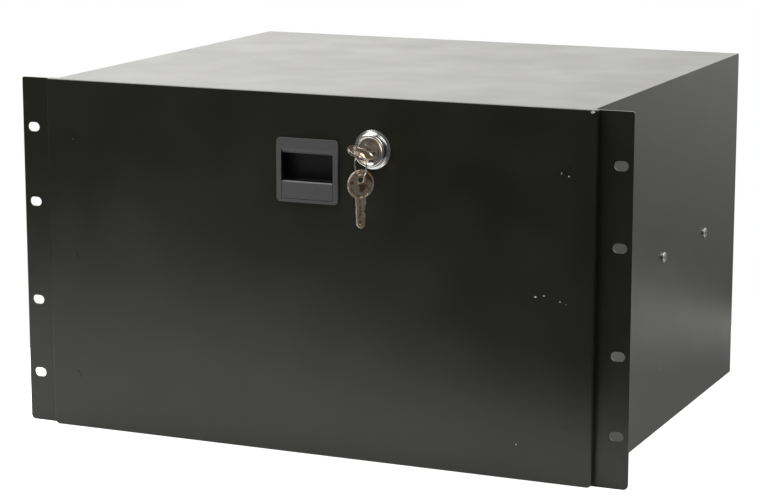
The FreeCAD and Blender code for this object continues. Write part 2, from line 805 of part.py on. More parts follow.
def crown_rounded(crown, face):
    """Round the edge of a head at its outer face."""
    doc.recompute()
    result = doc.addObject("Part::Fillet", "crown")
    result.Base = crown
    size = d.head_round.value
    result.Edges = [
        (number, size, size) for number, edge in enumerate(crown.Shape.Edges, start=1)
        if isinstance(edge.Curve, Part.Circle) and abs(edge.Curve.Center.x - face.value) < 0.01]
    return result


# ---------------------------------------------------------------- latch

bezel_face = front_face - d.bezel_thickness
housing_back = front_face + d.housing_depth
pin_z = latch_low + d.pin_rise
pin_y = bezel_face + d.pin_set
recess_top = latch_top - d.recess_drop
recess_low = recess_top - d.recess_height
half_recess = d.bezel_width / 2 - d.bezel_side
bolt_front = d.pan_sheet + d.strike_sheet + d.bolt_gap
bolt_back = bolt_front + d.bolt_thickness
bolt_top = strike_low - d.strike_clear
bolt_low = pin_z - d.bolt_tail


def make_latch_housing():
    """The plastic bezel and the finger recess behind it, in one moulding."""
    x = d.latch_x
    wall = d.bezel_border
    bezel = box(around(x, d.bezel_width / 2), (bezel_face, front_face), (latch_low, latch_top))
    corners = [(x + side * (d.bezel_width / 2), z) for side in (-1, 1) for z in (latch_low, latch_top)]
    bezel = rounded(bezel, "y", corners, d.bezel_corner)
    block = box(around(x, half_housing), (front_face, housing_back), (housing_low, housing_top))
    floor = housing_back - d.recess_floor
    recess = box(around(x, half_recess), (bezel_face, floor), (recess_low, recess_top))
    grip_front = bezel_face + d.grip_thickness
    grip = box(around(x, half_recess), (grip_front, floor), (recess_low, recess_top + d.grip_height))
    shelf_front = pin_y + d.hub_radius + d.shelf_gap
    pad_room = box(around(x, half_recess), (bezel_face, shelf_front),
                   (latch_low + wall, recess_low + d.overlap))
    low_room = box(around(x, half_recess), (shelf_front - d.overlap, housing_back),
                   (latch_low + wall, recess_low - d.recess_floor))
    arm_room = box(around(x, d.arm_width / 2 + d.paddle_play), (pin_y, housing_back),
                   (housing_low, latch_low + wall))
    pin_bore = rod("x", (pin_y, pin_z), d.pin_radius + d.pin_play / 2, around(x, half_housing))
    screw_end = housing_back - d.bracket_screw_length
    bores = [rod("y", at, d.small_screw_radius, (screw_end, housing_back))
             for at in bracket_screw_places()]
    shell = cut(fuse(bezel, block), recess, grip, pad_room, low_room, arm_room, pin_bore, *bores)
    soft = rounded(shell, "x", [(bezel_face, recess_top)], d.grip_round)
    keep("latch_housing", soft)


def bracket_screw_places():
    x = d.latch_x
    reach = d.bolt_width / 2 + d.bolt_play + d.bracket_sheet + d.bracket_wing / 2
    z = (recess_top + d.grip_height + housing_top) / 2
    return [(x + side * reach, z) for side in (-1, 1)]


def make_latch_paddle():
    """The thumb pad: it swings in about the pin at its foot, and its arm draws the bolt down."""
    x = d.latch_x
    pad_back = bezel_face + d.paddle_thickness
    half = half_recess - d.paddle_play
    plate = box(around(x, half), (bezel_face, pad_back), (pin_z - d.hub_radius, recess_low))
    plate = rounded(plate, "x", [(bezel_face, recess_low)], d.paddle_thickness / 2)
    web = box(around(x, half), (bezel_face, pin_y), (pin_z - d.hub_radius, pin_z + d.hub_radius))
    hub = rod("x", (pin_y, pin_z), d.hub_radius, around(x, half))
    arm = box(around(x, d.arm_width / 2), (pin_y, bolt_back - d.paddle_play),
              around(pin_z, d.arm_thickness / 2))
    paddle = cut(fuse(plate, web, hub, arm),
                 rod("x", (pin_y, pin_z), d.pin_radius + d.pin_play, around(x, half_housing)))
    keep("latch_paddle", paddle)
    keep("latch_pin", rod("x", (pin_y, pin_z), d.pin_radius, around(x, half_housing)))


def make_latch_bolt():
    """A flat bolt behind the recess, with a window for the paddle's arm and a bevelled nose."""
    x = d.latch_x
    bolt = folded("latch_bolt", "y", [
        (x - d.bolt_width / 2, bolt_low), (x + d.bolt_width / 2, bolt_low),
        (x + d.bolt_width / 2, bolt_top), (x - d.bolt_width / 2, bolt_top)], (bolt_front, bolt_back))
    half_window = d.arm_width / 2 + d.paddle_play
    room = d.arm_thickness / 2 + d.window_play
    bolt.pocket("y", (bolt_front, bolt_back), lambda sketch: bolt.polygon(sketch, [
        (x - half_window, pin_z - room), (x + half_window, pin_z - room),
        (x + half_window, pin_z + room), (x - half_window, pin_z + room)]))
    bolt.round("y", [(x - d.bolt_width / 2, bolt_top), (x + d.bolt_width / 2, bolt_top)],
               d.bolt_corner)


def make_latch_bracket():
    """A folded bracket that holds the bolt against the housing and carries its spring."""
    x = d.latch_x
    t = d.bracket_sheet
    inner = d.bolt_width / 2 + d.bolt_play
    outer = inner + t
    wing = outer + d.bracket_wing
    deep = bolt_back + d.bolt_play
    level = housing_top - d.bracket_height
    profile = [
        (x - wing, housing_back), (x - inner, housing_back), (x - inner, deep), (x + inner, deep),
        (x + inner, housing_back), (x + wing, housing_back), (x + wing, housing_back + t),
        (x + outer, housing_back + t), (x + outer, deep + t), (x - outer, deep + t),
        (x - outer, housing_back + t), (x - wing, housing_back + t)]
    bracket = folded("latch_bracket", "z", profile, (level, housing_top))
    foot = bolt_low - d.spring_room
    # a tongue runs down behind the bolt to a foot that carries the spring
    bracket.add("z", (foot - t, level), [
        (x - inner, deep), (x + inner, deep), (x + inner, deep + t), (x - inner, deep + t)])
    bracket.add("z", (foot - t, foot), [
        (x - inner, bolt_front), (x + inner, bolt_front), (x + inner, deep), (x - inner, deep)])
    bracket.pocket("y", (housing_back, housing_back + t), lambda sketch: [
        bracket.circle(sketch, at, d.small_screw_radius + d.hole_play)
        for at in bracket_screw_places()])
    screws = []
    for at in bracket_screw_places():
        near = housing_back + t
        shank = (housing_back - d.bracket_screw_length, near)
        screws.append(fuse(rod("y", at, d.small_head_radius, (near, near + d.small_head_height)),
                           rod("y", at, d.small_screw_radius - d.thread_play, shank)))
    keep("bracket_screws", group(*screws))


def make_bolt_spring():
    """A compression spring between the bracket's foot and the bolt."""
    helix = doc.addObject("Part::Helix", "spring_path")
    end_room = d.spring_wire + d.spring_play
    low = bolt_low - d.spring_room + end_room
    bind(helix, Pitch=d.spring_pitch, Height=d.spring_room - 2 * end_room, Radius=d.spring_radius)
    place(helix, d.latch_x, (bolt_front + bolt_back) / 2, low)
    section = doc.addObject("Part::Circle", "spring_section")
    bind(section, Radius=d.spring_wire)
    place(section, d.latch_x + d.spring_radius, (bolt_front + bolt_back) / 2, low, (1, 0, 0), 90)
    spring = doc.addObject("Part::Sweep", "spring")
    spring.Sections = [section]
    doc.recompute()
    spring.Spine = (helix, [f"Edge{i + 1}" for i in range(len(helix.Shape.Edges))])
    spring.Solid = True
    spring.Frenet = True
    keep("bolt_spring", spring)


def make_strike():
    """The bolt's strike, screwed behind the case's front lip through upright slots."""
    x = d.latch_x
    near, far = d.pan_sheet, d.pan_sheet + d.strike_sheet
    plate = box(around(x, d.strike_width / 2), (near, far), (strike_low, strike_low + d.strike_height))
    tools, screws = [], []
    z = strike_low + d.strike_height / 2
    radius = d.small_screw_radius + d.hole_play
    for end in (-1, 1):
        cx = x + end * (d.strike_screw_span / 2)
        half = d.strike_slot / 2 - radius
        tools.append(box(around(cx, radius), (near, far), around(z, half)))
        for level in (-1, 1):
            tools.append(rod("y", (cx, z + level * half), radius, (near, far)))
        screws.append(fuse(
            rod("y", (cx, z), d.small_head_radius, (far, far + d.small_head_height)),
            rod("y", (cx, z), d.small_screw_radius, (0, far))))
    keep("latch_strike", cut(plate, *tools))
    keep("strike_screws", group(*screws))


# ---------------------------------------------------------------- lock and keys

ring_face = front_face - d.lock_proud
plug_face = ring_face + d.plug_sink
barrel_back = front_face + d.barrel_length
cam_front = barrel_back + d.cam_gap
bow_y = ring_face - d.bow_offset
key_end = bow_y + d.blade_length


def make_lock():
    x, z = d.lock_x, lock_z
    bore = d.plug_radius + d.plug_play
    ring = d.lock_ring_radius
    dish = ring - d.lock_rim
    dish_floor = ring_face + d.lock_dish
    flange_face = front_face - d.lock_flange_edge
    Body("lock_body").turn([
        (bore, dish_floor), (dish - d.lock_dish_slope, dish_floor), (dish, ring_face),
        (ring - d.lock_edge, ring_face), (ring, ring_face + d.lock_edge),
        (ring + d.lock_flare, flange_face - d.lock_foot), (d.lock_flange_radius, flange_face),
        (d.lock_flange_radius, front_face), (d.barrel_radius, front_face),
        (d.barrel_radius, barrel_back), (bore, barrel_back)], x, z)
    washer = cut(rod("y", (x, z), d.washer_radius, (front_inside, front_inside + d.washer_thickness)),
                 rod("y", (x, z), d.barrel_radius + d.hole_play,
                     (front_inside, front_inside + d.washer_thickness)))
    keep("lock_washer", washer)
    near = front_inside + d.washer_thickness
    nut = doc.addObject("Part::Prism", "nut")
    nut.Polygon = 6
    bind(nut, Circumradius=d.nut_flats / math.sqrt(3), Height=d.nut_thickness)
    place(nut, x, near, z, (1, 0, 0), -90)
    bore = rod("y", (x, z), d.barrel_radius + d.thread_play, (near, near + d.nut_thickness))
    keep("lock_nut", cut(nut, bore))


def make_plug():
    """The rotor that the key turns, with the square tail that carries the cam."""
    half = d.cam_square / 2
    room_x = d.blade_width / 2 + d.key_play
    room_z = d.key_sheet / 2 + d.key_play
    plug = rod("y", (0, 0), d.plug_radius, (plug_face, barrel_back))
    tail = box((-half, half), (barrel_back - d.overlap, cam_front + d.cam_thickness), (-half, half))
    slot = box((-room_x, room_x), (plug_face, key_end + d.key_end_gap), (-room_z, room_z))
    keep("lock_plug", turned_with_key(cut(fuse(plug, tail), slot), 0))


def make_cam():
    """The locking tongue on the rotor's tail: stored in line with the key, to the left."""
    level = d.cam_width / 2
    reach = d.cam_reach - level
    deep = (0, d.cam_thickness)
    hole = d.cam_square / 2 + d.hole_play
    blank = fuse(box((-reach, 0), deep, (-level, level)),
                 rod("y", (0, 0), level + d.cam_boss, deep), rod("y", (-reach, 0), level, deep))
    cam = cut(blank, box((-hole, hole), deep, (-hole, hole)))
    keep("lock_cam", turned_with_key(cam, cam_front))
    near = cam_front + d.cam_thickness
    height = d.cam_screw_height
    head = rod("y", (0, 0), d.cam_screw_radius, (0, height))
    cross = cross_recess("y", (0, 0), (height - d.cross_depth, height))
    keep("cam_screw", turned_with_key(cut(head, *cross), near))


def turned_with_key(thing, y):
    """Put what was built about the Y axis on the lock's axis, turned by the key's angle."""
    return place(thing, d.lock_x, y, lock_z, (0, 1, 0), d.key_angle)


def tapered(half_start, half_end, length, half_thick):
    """A flat bar along +Y, level, that narrows from one half width to the other."""
    bar = doc.addObject("Part::Wedge", "tapered")
    bind(bar, Xmin=-half_start, Xmax=half_start, X2min=-half_end, X2max=half_end, Ymin=0, Ymax=length,
         Zmin=-half_thick, Zmax=half_thick, Z2min=-half_thick, Z2max=half_thick)
    return bar


def key_blank():
    """A key in its own frame: bow centred on the origin, blade along +Y, plate level."""
    half = d.key_sheet / 2
    deep = (-half, half)
    end = d.blade_end_width / 2
    straight = d.blade_length - end
    blade = tapered(d.blade_width / 2, end, straight, half)
    tools = [rod("z", (0, -d.bow_hole_offset), d.bow_hole, deep)]
    for number, depth in enumerate(KEY_CUTS):
        y = d.blade_length - d.notch_first - d.notch_pitch * number
        x = end + d.notch_radius * (KEY_EDGE - depth)
        tools.append(rod("z", (x, y), d.notch_radius, deep))
    for sunk in ((half - d.coin_depth, half), (-half, d.coin_depth - half)):
        field = rod("z", (0, 0), d.bow_radius - d.bow_rim, sunk)
        boss = rod("z", (0, -d.bow_hole_offset), d.bow_hole + d.bow_boss, sunk)
        groove_start = -d.groove_offset - d.groove_width
        groove = box((groove_start, -d.groove_offset), (d.bow_radius, straight), sunk)
        tools += [cut(field, boss), groove]
    return cut(fuse(rod("z", (0, 0), d.bow_radius, deep), blade, rod("z", (0, straight), end, deep)),
               *tools)


def make_keys():
    """One key in the lock, a ring through its bow, and a spare key hanging from the ring."""
    keep("key", turned_with_key(key_blank(), bow_y))

    # where the ring's upright plane crosses the tilted bow
    tilt = math.radians(d.key_angle.value)
    turn = math.radians(d.ring_turn.value)
    along = (math.cos(turn) / math.cos(tilt), math.sin(turn))
    length = math.hypot(*along)
    a, b = along[0] / length, along[1] / length
    offset, radius = d.bow_hole_offset.value, d.bow_radius.value
    rim_end = b * offset + math.sqrt((b * offset) ** 2 + radius ** 2 - offset ** 2)
    rim_start = d.bow_hole.value
    middle = (rim_start + rim_end) / 2
    slope = math.asin(a * math.sin(tilt))
    inner = d.ring_radius.value - d.ring_wire.value - d.seat_gap.value
    drop = math.sqrt(inner ** 2 - ((rim_end - rim_start) / 2) ** 2) - d.key_sheet.value / 2
    level = middle * math.cos(slope) - drop * math.sin(slope)
    x = d.lock_x + level * math.cos(turn)
    y = bow_y - d.bow_hole_offset + level * math.sin(turn)
    z = lock_z - middle * math.sin(slope) - drop * math.cos(slope)

    ring = doc.addObject("Part::Torus", "ring")
    bind(ring, Radius1=d.ring_radius, Radius2=d.ring_wire)
    ring.Placement.Rotation = FreeCAD.Rotation(FreeCAD.Vector(1, 0, 0), 90)
    keep("key_ring", place(group(ring), x, y, z, (0, 0, 1), d.ring_turn))

    hang = d.bow_hole - d.ring_wire - d.seat_gap
    spare = key_blank()
    place(spare, 0, 0, 0, (1, 0, 0), -90)
    low = z - d.ring_radius - hang - d.bow_hole_offset
    keep("spare_key", place(group(spare), x, y, low, (0, 0, 1), 90 + d.ring_turn))
    print("ring centre", [round(as_size(v).value, 3) for v in (x, y, z)], "ring turn", d.ring_turn.value)
    print("rim middle", round(middle, 3), "slope", round(math.degrees(slope), 2))


# ---------------------------------------------------------------- build, check and write

make_case()
make_strike()
make_drawer_front()
make_tray()
make_drawer_back()
make_front_rivets()
make_buffers()
make_slides()
make_slide_screws()
make_latch_housing()
make_latch_paddle()
make_latch_bolt()
make_latch_bracket()
make_bolt_spring()
make_lock()
make_plug()
make_cam()
make_keys()

doc.recompute()
faults = [f"{thing.Label}: {thing.State}" for thing in doc.Objects
          if "Invalid" in thing.State or "Error" in thing.State]
for part in PARTS:
    if part.Shape.isNull() or not part.Shape.isValid() or not part.Shape.Solids:
        faults.append(f"{part.Label}: no valid solid")
if faults:
    raise SystemExit("\n".join(faults))

os.makedirs("parts", exist_ok=True)
for part in PARTS:
    part.Shape.exportStep(os.path.join("parts", part.Label + ".step"))
print(len(PARTS), "sub-parts written")
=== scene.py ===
# %% [markdown]
# # A sliding rack drawer, dressed for its picture
#
# The object is a lockable drawer for a 19-inch rack: a steel case with two ears, a drawer on
# ball-bearing slides, a plastic latch and a cam lock with its two keys. All of its solids come from a
# CAD model, which is loaded here as a fixed frame. This lesson gives each piece the finish of the real
# one, remakes the few pieces whose shape needs more than the CAD gives, and sets up floor, light and
# camera. Lengths are in metres, X runs to the right, the front faces -Y and Z is up.

# %% Load the frame
import json
import math

import bmesh
import bpy
from mathutils import Matrix, Vector

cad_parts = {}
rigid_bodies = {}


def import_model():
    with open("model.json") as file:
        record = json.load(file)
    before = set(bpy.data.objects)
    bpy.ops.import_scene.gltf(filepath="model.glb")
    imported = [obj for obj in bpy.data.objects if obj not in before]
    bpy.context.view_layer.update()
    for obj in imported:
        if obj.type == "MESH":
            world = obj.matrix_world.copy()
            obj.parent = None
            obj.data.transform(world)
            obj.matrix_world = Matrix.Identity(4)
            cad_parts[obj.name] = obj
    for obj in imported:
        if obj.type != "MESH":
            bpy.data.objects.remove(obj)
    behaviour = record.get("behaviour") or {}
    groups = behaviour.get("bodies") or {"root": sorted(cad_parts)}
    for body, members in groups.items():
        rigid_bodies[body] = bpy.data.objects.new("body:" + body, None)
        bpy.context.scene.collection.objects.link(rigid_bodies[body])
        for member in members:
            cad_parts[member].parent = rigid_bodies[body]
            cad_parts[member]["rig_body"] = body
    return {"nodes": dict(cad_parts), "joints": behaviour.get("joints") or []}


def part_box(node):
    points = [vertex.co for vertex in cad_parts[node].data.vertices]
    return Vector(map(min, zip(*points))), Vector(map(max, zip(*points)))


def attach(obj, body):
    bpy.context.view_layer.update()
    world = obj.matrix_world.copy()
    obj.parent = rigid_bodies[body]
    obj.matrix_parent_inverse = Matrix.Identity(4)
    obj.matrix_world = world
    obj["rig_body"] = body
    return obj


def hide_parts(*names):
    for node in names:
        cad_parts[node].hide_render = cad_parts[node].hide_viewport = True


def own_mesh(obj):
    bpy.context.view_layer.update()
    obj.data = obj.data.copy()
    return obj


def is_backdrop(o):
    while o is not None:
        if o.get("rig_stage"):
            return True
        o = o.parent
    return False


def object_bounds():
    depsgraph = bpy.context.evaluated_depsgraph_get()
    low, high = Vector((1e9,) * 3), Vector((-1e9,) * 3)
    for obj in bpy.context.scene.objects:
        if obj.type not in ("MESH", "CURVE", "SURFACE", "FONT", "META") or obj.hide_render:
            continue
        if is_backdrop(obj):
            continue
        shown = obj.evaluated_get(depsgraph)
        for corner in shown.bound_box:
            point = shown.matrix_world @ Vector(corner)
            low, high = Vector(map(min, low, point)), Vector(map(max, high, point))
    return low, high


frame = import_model()
cad_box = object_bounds()
MM = 0.001

# %% [markdown]
# ## Helpers for materials
#
# A colour is easiest to read as a hex code, as in a paint chart, but Blender mixes light in linear
# numbers, so one function turns the code. A second one adds a node with its settings and links. A
# pattern's Scale counts features per metre, while a surface is measured in millimetres, so a third
# function turns a feature's size into a scale. Every material starts from one shader with the plain
# values of the real surface, and nodes are added only where the surface varies.

# %% Colour, node and scale helpers
def linear(code):
    """A hex colour such as #505050 as linear red, green, blue and alpha."""
    shares = [int(code[start:start + 2], 16) / 255 for start in (1, 3, 5)]
    return [s / 12.92 if s <= 0.04045 else ((s + 0.055) / 1.055) ** 2.4 for s in shares] + [1]


def add_node(tree, kind, settings=None, links=None):
    """Add a node, set its sockets or properties by name, and link its inputs by name or number."""
    node = tree.nodes.new(kind)
    for name, value in (settings or {}).items():
        if name in node.inputs:
            node.inputs[name].default_value = value
        else:
            setattr(node, name, value)
    for name, source in (links or {}).items():
        tree.links.new(source, node.inputs[name])
    return node


def per_metre(size_mm):
    """How many features of this size fit in a metre, which is what a pattern's Scale means."""
    return 1000 / size_mm


def start_material(name, colour, roughness, metallic=0.0, ior=1.5):
    """A material whose one shader holds the plain values of the real surface."""
    material = bpy.data.materials.new(name)
    material.use_nodes = True
    shader = material.node_tree.nodes["Principled BSDF"]
    shader.inputs["Base Color"].default_value = linear(colour)
    shader.inputs["Roughness"].default_value = roughness
    shader.inputs["Metallic"].default_value = metallic
    shader.inputs["IOR"].default_value = ior
    print("material:", name)
    return material, material.node_tree, shader


# The real material for each finish that the part's record names.
finishes = {}

# %% [markdown]
# ## Black powder coat
#
# The sheets are steel with a baked polyester powder coat. The powder melts into a film with a faint
# orange peel, which breaks up a reflection without dulling it. Hands and dust leave cloudy smudges a
# few centimetres wide, duller and a shade paler than clean paint. Noise at the size of the peel drives
# a bump, and one broad noise varies both roughness and colour. The real peel is about 1.5 mm from
# crest to crest, which is too fine to show, so it is drawn at 3 mm.

# %% Black powder coat
PEEL_MM = 3.0
PATCH_MM = 55.0


def make_powder_coat():
    material, tree, shader = start_material("black powder coat, baked", "#1e1f17", 0.31, ior=1.52)
    place = add_node(tree, "ShaderNodeTexCoord").outputs["Object"]
    patches = add_node(tree, "ShaderNodeTexNoise", {"Scale": per_metre(PATCH_MM), "Detail": 3.0},
                       {"Vector": place})
    dull = add_node(tree, "ShaderNodeMapRange", {"To Min": 0.24, "To Max": 0.36},
                    {"Value": patches.outputs["Fac"]})
    tree.links.new(dull.outputs["Result"], shader.inputs["Roughness"])
    smudge = add_node(tree, "ShaderNodeMapRange", {"From Min": 0.25, "From Max": 0.75},
                      {"Value": patches.outputs["Fac"]})
    dust = add_node(tree, "ShaderNodeMix", {
        "data_type": "RGBA", "A": linear("#18190f"), "B": linear("#24251e")},
        {"Factor": smudge.outputs["Result"]})
    tree.links.new(dust.outputs["Result"], shader.inputs["Base Color"])
    peel = add_node(tree, "ShaderNodeTexNoise", {"Scale": per_metre(PEEL_MM), "Detail": 1.0},
                    {"Vector": place})
    bump = add_node(tree, "ShaderNodeBump", {"Strength": 0.12, "Distance": 0.2 * MM},
                    {"Height": peel.outputs["Fac"]})
    tree.links.new(bump.outputs["Normal"], shader.inputs["Normal"])
    return material


finishes["black_paint"] = make_powder_coat()

# %% [markdown]
# ## Moulded ABS
#
# The latch's bezel and thumb pad are injection moulded in dark grey ABS from a spark-eroded mould,
# which leaves a fine even grain. The grain makes the plastic matt, so it has a high roughness and a
# small bump. The real grain is 0.1 mm, drawn here at 0.6 mm.

# %% Moulded ABS
GRAIN_MM = 0.6


def make_abs(name, colour):
    material, tree, shader = start_material(name, colour, 0.48)
    place = add_node(tree, "ShaderNodeTexCoord").outputs["Object"]
    grain = add_node(tree, "ShaderNodeTexNoise", {"Scale": per_metre(GRAIN_MM), "Detail": 1.0},
                     {"Vector": place})
    bump = add_node(tree, "ShaderNodeBump", {"Strength": 0.15, "Distance": 0.05 * MM},
                    {"Height": grain.outputs["Fac"]})
    tree.links.new(bump.outputs["Normal"], shader.inputs["Normal"])
    return material


finishes["grey_plastic"] = make_abs("dark grey ABS, moulded", "#555556")

# %% [markdown]
# ## Bright chrome and polished steel
#
# Bare metals are mirrors, so each is a full metal with the default IOR, and its colour is the colour of
# its reflection. The lock is zinc die casting with bright chrome plate, which handling has dulled a
# little. The slides' balls are polished bearing steel, darker and smoother. Neither shows a pattern, so
# plain values are enough.

# %% Chrome and bearing steel
def make_chrome():
    return start_material("chrome plate, bright", "#cfd0cd", 0.24, metallic=1.0)[0]


def make_bearing_steel():
    return start_material("bearing steel, polished", "#bcbcc0", 0.18, metallic=1.0)[0]


finishes["chrome"] = make_chrome()
finishes["bearing_steel"] = make_bearing_steel()

# %% [markdown]
# ## Worn nickel plate
#
# The keys and their ring are nickel-plated brass, carried in a pocket until the bright plate is warm
# and blotched with tarnish. A mask could be painted by hand, but the blotches have no order, so one
# noise at their size mixes the bright and the tarnished colour, and makes the tarnish duller as well.

# %% Nickel plate
BLOTCH_MM = 4.0


def make_nickel(name, bright, tarnished):
    material, tree, shader = start_material(name, bright, 0.3, metallic=1.0)
    place = add_node(tree, "ShaderNodeTexCoord").outputs["Object"]
    wear = add_node(tree, "ShaderNodeTexNoise", {"Scale": per_metre(BLOTCH_MM), "Detail": 3.0},
                    {"Vector": place})
    patch = add_node(tree, "ShaderNodeMapRange", {"From Min": 0.42, "From Max": 0.6},
                     {"Value": wear.outputs["Fac"]})
    tarnish = add_node(tree, "ShaderNodeMix", {
        "data_type": "RGBA", "A": linear(bright), "B": linear(tarnished)},
        {"Factor": patch.outputs["Result"]})
    tree.links.new(tarnish.outputs["Result"], shader.inputs["Base Color"])
    dull = add_node(tree, "ShaderNodeMapRange", {"To Min": 0.2, "To Max": 0.42},
                    {"Value": patch.outputs["Result"]})
    tree.links.new(dull.outputs["Result"], shader.inputs["Roughness"])
    return material


finishes["nickel"] = make_nickel("nickel plate on brass, worn", "#f1e9dc", "#b39c82")

# %% [markdown]
# ## Bright zinc plate
#
# Screws, slides and brackets are steel with bright zinc plate, which is greyer than chrome and satin,
# with clouds about a centimetre wide where the bath left it duller. A flat roughness would look like
# plastic foil, so noise at the size of a cloud varies it and leaves the colour alone.

# %% Zinc plate
CLOUD_MM = 12.0


def make_zinc():
    material, tree, shader = start_material("bright zinc plate on steel", "#b4b6b6", 0.34, metallic=1.0)
    place = add_node(tree, "ShaderNodeTexCoord").outputs["Object"]
    cloud = add_node(tree, "ShaderNodeTexNoise", {"Scale": per_metre(CLOUD_MM), "Detail": 3.0},
                     {"Vector": place})
    dull = add_node(tree, "ShaderNodeMapRange", {"To Min": 0.26, "To Max": 0.42},
                    {"Value": cloud.outputs["Fac"]})
    tree.links.new(dull.outputs["Result"], shader.inputs["Roughness"])
    return material


finishes["zinc"] = finishes["slide_steel"] = make_zinc()

# %% [markdown]
# ## Rubber buffers
#
# Four small buffers behind the front are moulded in black rubber, filled with carbon black and quite
# matt. They are hidden while the drawer is shut, so a high roughness says enough.

# %% Rubber
def make_rubber():
    return start_material("black rubber, moulded", "#151515", 0.8, ior=1.52)[0]


finishes["black_rubber"] = make_rubber()

# %% [markdown]
# ## Put the finishes on the CAD nodes
#
# The frame's meshes already carry a material named after the finish that the part's record gives
# them. The finishes could be handed out piece by piece, but exchanging them by that name keeps every
# piece right when pieces are added.

# %% Dress the CAD nodes
slot_of = {}
for name, node in frame["nodes"].items():
    slot_of[name] = node.data.materials[0].name
    node.data.materials[0] = finishes[slot_of[name]]
print("finishes used:", sorted(set(slot_of.values())))

# %% [markdown]
# ## Rounded edges
#
# A real edge is never perfectly sharp, and the thin bright line that light draws along it is what
# makes plastic look moulded and metal look plated. CAD solids have knife edges, and their meshes are
# loose triangles. So a piece that is seen close up is copied, its triangles are merged, its flat faces
# are joined, and a Bevel modifier rounds each edge that is sharper than a set angle.

# %% Make a piece from a bmesh
SHARP = math.radians(32)


def place_piece(shape, name, slot, body, node=None, crease=SHARP):
    """Turn a finished bmesh into an object that rides on a body, and may stand for a CAD node."""
    mesh = bpy.data.meshes.new(name)
    shape.to_mesh(mesh)
    shape.free()
    # A copied mesh brings the CAD's own shading marks, which would override the smooth shading.
    for layer in ("custom_normal", "sharp_face", "sharp_edge"):
        if layer in mesh.attributes:
            mesh.attributes.remove(mesh.attributes[layer])
    mesh.shade_smooth()
    mesh.set_sharp_from_angle(angle=crease)
    mesh.materials.append(finishes[slot])
    piece = bpy.data.objects.new(name, mesh)
    bpy.context.scene.collection.objects.link(piece)
    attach(piece, body)
    if node:
        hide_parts(node)
    print(name, "faces:", len(mesh.polygons))
    return piece


# %% Rounded copies
# Corners nearer than the first are one corner, and faces that turn less than the second are one face.
MERGE = 0.002 * MM
FLAT = math.radians(0.3)
ROUND_STEPS = 3


def merged_copy(node):
    """A bmesh of a CAD node, with its loose triangles joined at their corners."""
    shape = bmesh.new()
    shape.from_mesh(frame["nodes"][node].data)
    bmesh.ops.remove_doubles(shape, verts=shape.verts, dist=MERGE)
    return shape


def rounded_copy(node, edge):
    """A copy of a CAD node with rounded edges, which stands for that node."""
    shape = merged_copy(node)
    bmesh.ops.dissolve_limit(shape, angle_limit=FLAT, verts=shape.verts, edges=shape.edges)
    body = frame["nodes"][node]["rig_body"]
    piece = place_piece(shape, node + "_rounded", slot_of[node], body, node)
    bevel = piece.modifiers.new("rounded edges", "BEVEL")
    bevel.width = edge
    bevel.segments = ROUND_STEPS
    bevel.limit_method = "ANGLE"
    bevel.angle_limit = SHARP
    bevel.harden_normals = True
    return piece


housing = rounded_copy("latch_housing", 0.8 * MM)
rounded_copy("latch_paddle", 0.3 * MM)
keys = [rounded_copy(node, 0.25 * MM) for node in ("key", "spare_key")]

# %% [markdown]
# ## The dark of the finger recess
#
# The recess behind the latch's top strip is a deep pocket that hardly any light leaves again. The soft
# light of this studio still reaches its back, and a deeper pocket would need more room than the drawer
# has. So the back and side walls inside it are painted black as shade, with a black copy of the
# plastic, while the rounded lip above and the shelf below stay grey, and the pocket reads as deep as
# the real one.

# %% Finger recess
# How far the pocket lies in from the bezel's sides, and how far below its top it starts and ends.
POCKET_INSET, POCKET_TOP, POCKET_BOTTOM = 3.0 * MM, 6.0 * MM, 32.0 * MM
LIP_DEEP = 4.0 * MM
# A face is upright when its normal rises or falls by less than this.
UPRIGHT = 0.1
# A black copy of the ABS that paints the pocket's shade onto its walls.
recess_shade_abs = make_abs("ABS painted black as recess shade", "#0b0b0b")


def paint_recess_shade():
    low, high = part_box("latch_housing")
    left, right = low.x + POCKET_INSET, high.x - POCKET_INSET
    bottom, top = high.z - POCKET_BOTTOM, high.z - POCKET_TOP
    housing.data.materials.append(recess_shade_abs)
    dark = 0
    # Faces of the pocket's back and side walls get the painted shade.
    for face in housing.data.polygons:
        x, y, z = face.center
        inside = left < x < right and bottom < z < top
        if inside and abs(face.normal.z) < UPRIGHT and y > low.y + LIP_DEEP:
            face.material_index = 1
            dark += 1
    print("dark faces in the recess:", dark)


paint_recess_shade()

# %% [markdown]
# ## Tarnish in the keys' sunk fields
#
# A stamped key is rubbed bright on its rim and stays brown in the field that the stamp pressed down,
# where neither cloth nor fingers reach. The field's faces look along the key's thickness and lie a
# little under its flat sides, which is how they are found. Picking them by number would be shorter, but
# the numbers change with the mesh.

# %% Sunk fields
FIELD_DOWN = 0.15 * MM
# Two directions are parallel when their dot product is more than this.
PARALLEL = 0.99
tarnished = make_nickel("nickel plate on brass, tarnished", "#e2d0bb", "#735a46")


def tarnish_fields(piece):
    piece.data.materials.append(tarnished)
    faces = piece.data.polygons
    across = max(faces, key=lambda face: face.area).normal.copy()
    flat = [face for face in faces if abs(face.normal.dot(across)) > PARALLEL]
    heights = [face.center.dot(across) for face in flat]
    low, high = min(heights) + FIELD_DOWN, max(heights) - FIELD_DOWN
    sunk = [face for face, height in zip(flat, heights) if low < height < high]
    for face in sunk:
        face.material_index = 1
    print(piece.name, "sunk faces:", len(sunk))


for piece in keys:
    tarnish_fields(piece)

# %% [markdown]
# ## Lock body
#
# The lock's body is a casting turned about its axis: a flange lies against the front, and a ring with a
# well-rounded lip stands on it, dished inside. A Bevel modifier could round a stack of cylinders, but
# only with one radius, and chrome shows every change of such a curve. So the outline is drawn as radius
# against depth, with each of its fillets, and spun full circle.

